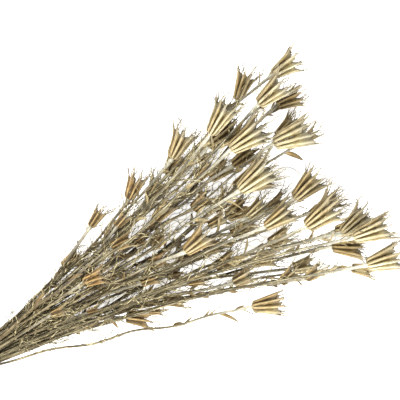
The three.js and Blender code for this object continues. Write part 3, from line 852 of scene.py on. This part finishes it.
class Nodes:
    """A short way to write a material's nodes."""

    def __init__(self, name):
        self.material = bpy.data.materials.new(name)
        self.material.use_nodes = True
        self.tree = self.material.node_tree
        self.shader = self.tree.nodes["Principled BSDF"]

    def add(self, kind, inputs=(), **settings):
        node = self.tree.nodes.new(kind)
        for key, value in settings.items():
            setattr(node, key, value)
        for key, value in dict(inputs).items():
            self.put(node.inputs[key], value)
        return node

    def put(self, socket, value):
        """Links a node's output to a socket, or sets the socket to a constant."""
        if isinstance(value, bpy.types.NodeSocket):
            self.tree.links.new(value, socket)
        else:
            socket.default_value = value

    def attribute(self, name):
        """The three numbers of a mesh attribute."""
        node = self.add("ShaderNodeAttribute", attribute_name=name)
        split = self.add("ShaderNodeSeparateXYZ", {0: node.outputs["Vector"]})
        return split.outputs[0], split.outputs[1], split.outputs[2]

    def math(self, operation, a, b):
        return self.add("ShaderNodeMath", {0: a, 1: b}, operation=operation).outputs[0]

    def smooth(self, value, low, high):
        """0 below low, 1 above high and a soft step between."""
        node = self.add("ShaderNodeMapRange", {0: value, 1: low, 2: high}, interpolation_type="SMOOTHSTEP")
        return node.outputs[0]

    def ramp(self, value, stops):
        """A colour ramp from (position, colour) stops."""
        node = self.add("ShaderNodeValToRGB", {0: value})
        ramp = node.color_ramp
        while len(ramp.elements) < len(stops):
            ramp.elements.new(0.5)
        for element, (position, colour) in zip(ramp.elements, stops):
            element.position = position
            element.color = colour
        return node.outputs[0]

    def mix(self, share, a, b, how="MIX"):
        node = self.add("ShaderNodeMix", data_type="RGBA", blend_type=how)
        self.put(node.inputs[0], share)
        self.put(node.inputs[6], a)
        self.put(node.inputs[7], b)
        return node.outputs[2]

    def noise(self, vector, scale, detail=3.0, roughness=0.6):
        inputs = {"Vector": vector, "Scale": scale, "Detail": detail, "Roughness": roughness}
        return self.add("ShaderNodeTexNoise", inputs).outputs["Fac"]

    def vector(self, x, y, z):
        return self.add("ShaderNodeCombineXYZ", {0: x, 1: y, 2: z}).outputs[0]

    def times(self, value, factor):
        return self.math("MULTIPLY", value, factor)

    def bump(self, height, distance, strength):
        node = self.add("ShaderNodeBump", {"Height": height, "Distance": distance, "Strength": strength})
        self.put(self.shader.inputs["Normal"], node.outputs[0])

    def finish(self, colour, roughness):
        self.put(self.shader.inputs["Base Color"], colour)
        self.put(self.shader.inputs["Roughness"], roughness)
        return self.material


def pod_material():
    """Papery dry follicles: cream keels, straw flanks with fine veins, grey-brown tips, and painted shade:
    dark brown in the grooves and at the inner edges, browner follicles on the side away from the key light.
    """
    n = Nodes("dry_pod")
    side, along, seed = n.attribute("place")
    brown, orange, _ = n.attribute("tone")
    # Each ramp runs from the keel (0) to the groove and inner edge (1); its dark end is painted shade.
    straw = n.ramp(side, [(0.0, rgb(227, 218, 186)), (0.2, rgb(214, 202, 158)), (0.4, rgb(196, 182, 132)),
                          (0.7, rgb(185, 171, 122)), (1.0, rgb(106, 90, 56))])
    umber = n.ramp(side, [(0.0, rgb(186, 160, 104)), (0.25, rgb(162, 135, 80)), (0.6, rgb(132, 107, 60)),
                          (1.0, rgb(76, 59, 31))])
    amber = n.ramp(side, [(0.0, rgb(198, 163, 102)), (0.3, rgb(174, 136, 78)), (0.7, rgb(141, 107, 57)),
                          (1.0, rgb(84, 61, 32))])
    colour = n.mix(orange, n.mix(brown, straw, umber), amber)
    blotch = n.noise(n.vector(side, n.times(along, 2.0), seed), scale=2.2)
    blotched = n.ramp(blotch, [(0.35, rgb(150, 142, 116)), (0.55, WHITE)])
    colour = n.mix(0.55, colour, blotched, "MULTIPLY")
    vein = n.noise(n.vector(n.times(side, 6.0), n.times(along, 0.5), seed), scale=2.0, detail=4.0)
    veined = n.ramp(vein, [(0.4, rgb(120, 106, 76)), (0.5, WHITE)])
    colour = n.mix(0.7, colour, veined, "MULTIPLY")
    tip = n.math("SUBTRACT", along, n.times(n.math("SUBTRACT", blotch, 0.5), 0.5))
    spared = n.times(n.math("MAXIMUM", orange, brown), 0.55)
    greyed = n.times(n.smooth(tip, low=0.55, high=0.95), n.math("SUBTRACT", 0.85, spared))
    colour = n.mix(greyed, colour, rgb(143, 137, 118))
    n.bump(vein, distance=0.0004, strength=0.6)
    n.shader.inputs["Specular IOR Level"].default_value = 0.35
    return n.finish(colour, roughness=0.58)


def stalk_material():
    """Grey-olive stalks with pale lengthwise ribs, cream just under the big pods."""
    n = Nodes("dry_stalk")
    side, along, seed = n.attribute("place")
    brown, orange, pale = n.attribute("tone")
    drawn_out = n.vector(n.times(side, 9.0), n.times(along, 3.0), n.times(seed, 9.0))
    streak = n.noise(drawn_out, scale=1.6, detail=4.0)
    olive = n.ramp(streak, [(0.38, rgb(34, 29, 17)), (0.48, rgb(70, 62, 39)), (0.55, rgb(112, 102, 72)),
                            (0.63, rgb(198, 188, 150))])
    umber = n.ramp(streak, [(0.36, rgb(42, 34, 22)), (0.5, rgb(82, 69, 45)), (0.64, rgb(150, 132, 96))])
    cream = n.ramp(streak, [(0.34, rgb(178, 174, 154)), (0.5, rgb(210, 207, 188)),
                            (0.66, rgb(236, 234, 222))])
    colour = n.mix(brown, olive, umber)
    colour = n.mix(n.times(orange, 0.22), colour, rgb(176, 148, 98))
    colour = n.mix(pale, colour, cream)
    ring = n.noise(n.vector(seed, n.times(along, 30.0), 0.0), scale=1.0, detail=2.0)
    ringed = n.ramp(ring, [(0.36, rgb(176, 160, 130)), (0.5, WHITE)])
    colour = n.mix(0.5, colour, ringed, "MULTIPLY")
    n.bump(streak, distance=0.0005, strength=0.8)
    n.shader.inputs["Specular IOR Level"].default_value = 0.3
    return n.finish(colour, roughness=0.62)


def leaf_material():
    """Thread leaves and hairs, dark brown to pale straw, or grey."""
    n = Nodes("dry_thread_leaf")
    _, along, seed = n.attribute("place")
    _, _, grey = n.attribute("tone")
    shade = n.noise(n.vector(seed, n.times(along, 2.0), 0.0), scale=3.0)
    colour = n.ramp(shade, [(0.38, rgb(58, 49, 30)), (0.5, rgb(132, 118, 80)), (0.62, rgb(222, 210, 164))])
    colour = n.mix(grey, colour, rgb(118, 109, 86))
    n.bump(shade, distance=0.0002, strength=0.5)
    return n.finish(colour, roughness=0.7)


def twine_material():
    """Natural twine, streaked by its fibres."""
    n = Nodes("jute_twine")
    side, along, seed = n.attribute("place")
    twisted = n.vector(n.times(side, 8.0), n.times(along, 3.0), seed)
    fibre = n.noise(twisted, scale=3.0, detail=5.0, roughness=0.7)
    colour = n.ramp(fibre, [(0.32, rgb(104, 72, 36)), (0.5, rgb(168, 130, 78)), (0.68, rgb(212, 180, 128))])
    n.bump(fibre, distance=0.0004, strength=1.0)
    return n.finish(colour, roughness=0.85)


NEAR_POD = 290  # pods nearer to the tie are more orange, and fully so when they are nearer by NEAR_OVER
NEAR_OVER = 90


def tone_of(s):
    """How brown and how orange a strand's pods dried: the lower and the nearer ones more."""
    height = s.level / (len(LAYERS) - 1)
    brown = max(0.0, between(0.75, -0.25, height) + between(-0.35, 0.35, chance(s.index, 13)))
    near = max(0.0, min(1.0, (NEAR_POD - s.end_x) / NEAR_OVER))
    orange = near * between(0.2, 1.0, chance(s.index, 14) ** 2) + 0.25 * max(0.0, chance(s.index, 15) - 0.6)
    brown = max(brown, 0.6 * near)
    return np.array((min(MOST_TONED, brown), min(MOST_TONED, orange), 0.0))


PLY_RADIUS = 0.52
PLY_OFFSET = 0.42  # of a ply's middle from the twine's
PLY_PITCH = 5.0
PLY_SIDES = 8
TWINE_STEP = 0.8
RING_POINTS = 44


def twine_path():
    """Close turns round the bundle, flat underneath where they lie on the floor."""
    r = TWINE_DIAMETER / 2
    ring = TIE_INNER + r
    t = np.linspace(0, TWINE_TURNS - 1, RING_POINTS * (TWINE_TURNS - 1) + 1)
    angle = math.pi / 2 + 2 * math.pi * t
    x = -TIE_HALF + r + TWINE_DIAMETER * t
    z = np.maximum(ring * np.sin(angle), FLOOR + r)
    return np.stack([x, ring * np.cos(angle), z], axis=1)


def add_twine(piece, path, seed):
    """Two plies laid round each other along a path."""
    path = smooth_path(path, TWINE_STEP)
    _, u, v = frames_along(path)
    gone = np.concatenate([[0.0], np.cumsum(np.linalg.norm(np.diff(path, axis=0), axis=1))])
    for ply in range(2):
        angle = (gone * 2 * math.pi / PLY_PITCH + ply * math.pi)[:, None]
        middle = path + PLY_OFFSET * (np.cos(angle) * u + np.sin(angle) * v)
        points = tube_points(middle, np.full(len(path), PLY_RADIUS), PLY_SIDES)
        place = np.zeros(points.shape)
        place[..., 0] = np.arange(PLY_SIDES)[None] / PLY_SIDES
        place[..., 1] = gone[:, None] / PLY_PITCH
        place[..., 2] = seed + ply
        piece.grid(points, place, (0.0, 0.0, 0.0), TWINE_SLOT)


def knot_paths():
    """A reef-like knot on top of the tie, with two short ends."""
    top = TIE_INNER + 2.3
    t = np.linspace(0, 1, 15)[:, None]
    angle = 2 * math.pi * t
    loop = np.hstack([1.5 * np.sin(angle), 2.2 * np.cos(angle), top + 0.9 + 0.7 * np.sin(2 * angle)])
    cross = np.hstack([2.0 * np.cos(angle), 1.3 * np.sin(angle), top + 0.5 + 0.5 * np.cos(2 * angle)])
    ends = []
    for way in (-1, 1):
        ends.append(np.array([
            (0, 0, top + 1.0), (1.5 * way, 1.6 * way, top + 1.4), (3.4 * way, 3.4 * way, top + 0.6),
            (5.6 * way, 5.4 * way, top - 0.9), (7.4 * way, 7.4 * way, top - 3.0),
        ]))
    return [loop, cross, *ends]


FLOOR_HALF = 4.0  # m
FLOOR_GLOW = 0.8
SKY_STRENGTH = 0.55


def add_floor():
    """A wide pale floor that glows, as the photo's background is white."""
    mesh = bpy.data.meshes.new("floor")
    corners = [(x * FLOOR_HALF, y * FLOOR_HALF, 0) for x, y in ((-1, -1), (1, -1), (1, 1), (-1, 1))]
    mesh.from_pydata(corners, [], [(0, 1, 2, 3)])
    floor = bpy.data.objects.new("floor", mesh)
    bpy.context.scene.collection.objects.link(floor)
    n = Nodes("pale_floor")
    n.shader.inputs["Emission Color"].default_value = (1, 1, 1, 1)
    n.shader.inputs["Emission Strength"].default_value = FLOOR_GLOW
    mesh.materials.append(n.finish((0.86, 0.86, 0.86, 1), roughness=0.9))


BUNCH_ANGLE = 28.7 * DEGREE  # how far the bunch runs above the image's right
PIXEL = 0.92  # mm
TIE_PIXEL = (-45, 372)  # where the middle of the tie would be, past the image's left edge
IMAGE_SIDE = 400
LENS = 250.0
SENSOR = 36.0
VIEW_HEIGHT = 45.0  # height over the floor, in mm, at which a pixel is PIXEL wide


def image_axes():
    """The image's right and up as directions of the frame."""
    right = np.array((math.cos(BUNCH_ANGLE), -math.sin(BUNCH_ANGLE), 0.0))
    up = np.array((math.sin(BUNCH_ANGLE), math.cos(BUNCH_ANGLE), 0.0))
    return right, up


def placed(x_axis, y_axis, z_axis, place):
    """The matrix that puts a thing at a place with its axes along three directions."""
    columns = np.array((x_axis, y_axis, z_axis, place)).T
    return Matrix([*columns.tolist(), (0, 0, 0, 1)])


def add_camera():
    """Looks straight down on the bunch, as the photo does, through a long lens."""
    right, up = image_axes()
    half = IMAGE_SIDE / 2
    centre = right * (half - TIE_PIXEL[0]) * PIXEL + up * (TIE_PIXEL[1] - half) * PIXEL
    target = (centre + SHIFT) * MM
    target[2] = VIEW_HEIGHT * MM
    distance = IMAGE_SIDE * PIXEL * MM / 2 / (SENSOR / 2 / LENS)
    data = bpy.data.cameras.new("camera")
    data.lens = LENS
    data.sensor_width = SENSOR
    data.clip_end = 20
    camera = bpy.data.objects.new("camera", data)
    bpy.context.scene.collection.objects.link(camera)
    back = np.array((0.0, 0.0, 1.0))
    camera.matrix_world = placed(right, up, back, target + back * distance)
    bpy.context.scene.camera = camera


def add_light(name, direction, distance, size, power):
    data = bpy.data.lights.new(name, "AREA")
    data.energy = power
    data.size = size
    light = bpy.data.objects.new(name, data)
    bpy.context.scene.collection.objects.link(light)
    direction = unit(np.array(direction))
    u, _ = across(direction)
    light.matrix_world = placed(u, np.cross(direction, u), direction, direction * distance)


def add_lights():
    """A soft key from the lower right of the image, a fill from the other side and a white sky."""
    right, up = image_axes()
    key_way = 0.55 * right - 0.6 * up + (0, 0, 0.95)
    fill_way = -0.7 * right + 0.5 * up + (0, 0, 1.0)
    add_light("key", key_way, distance=1.6, size=0.8, power=48)
    add_light("fill", fill_way, distance=1.8, size=1.2, power=28)
    world = bpy.data.worlds.new("studio")
    world.use_nodes = True
    sky = world.node_tree.nodes["Background"]
    sky.inputs["Color"].default_value = (1, 1, 1, 1)
    sky.inputs["Strength"].default_value = SKY_STRENGTH
    bpy.context.scene.world = world
    bpy.context.scene.view_settings.view_transform = "Standard"


def build_stems():
    """One piece for each stem, with its branches, in place of its solid."""
    strands = strands_of_bunch()
    lay_out(strands)
    materials = [stalk_material(), pod_material(), leaf_material()]
    mains = [s for s in strands if not s.parent]
    for number, main in enumerate(mains, 1):
        node = f"stem_{number:02d}"
        piece = Piece(f"dried_{node}")
        for s in (o for o in strands if o is main or o.parent is main):
            tone = tone_of(s)
            add_stalk(piece, s, tone)
            add_pod(piece, s, tone)
            add_leaves(piece, s, strands, tone)
            add_husks(piece, s, tone)
        made = piece.make(materials)
        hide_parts(node)


def build_tie():
    """The turns of twine and the knot, as one piece in place of the tie's solid."""
    piece = Piece("jute_tie")
    for seed, path in enumerate([twine_path(), *knot_paths()]):
        add_twine(piece, path, seed)
    made = piece.make([twine_material()])
    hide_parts("twine_tie")


add_camera()
add_lights()
add_floor()
build_stems()
build_tie()
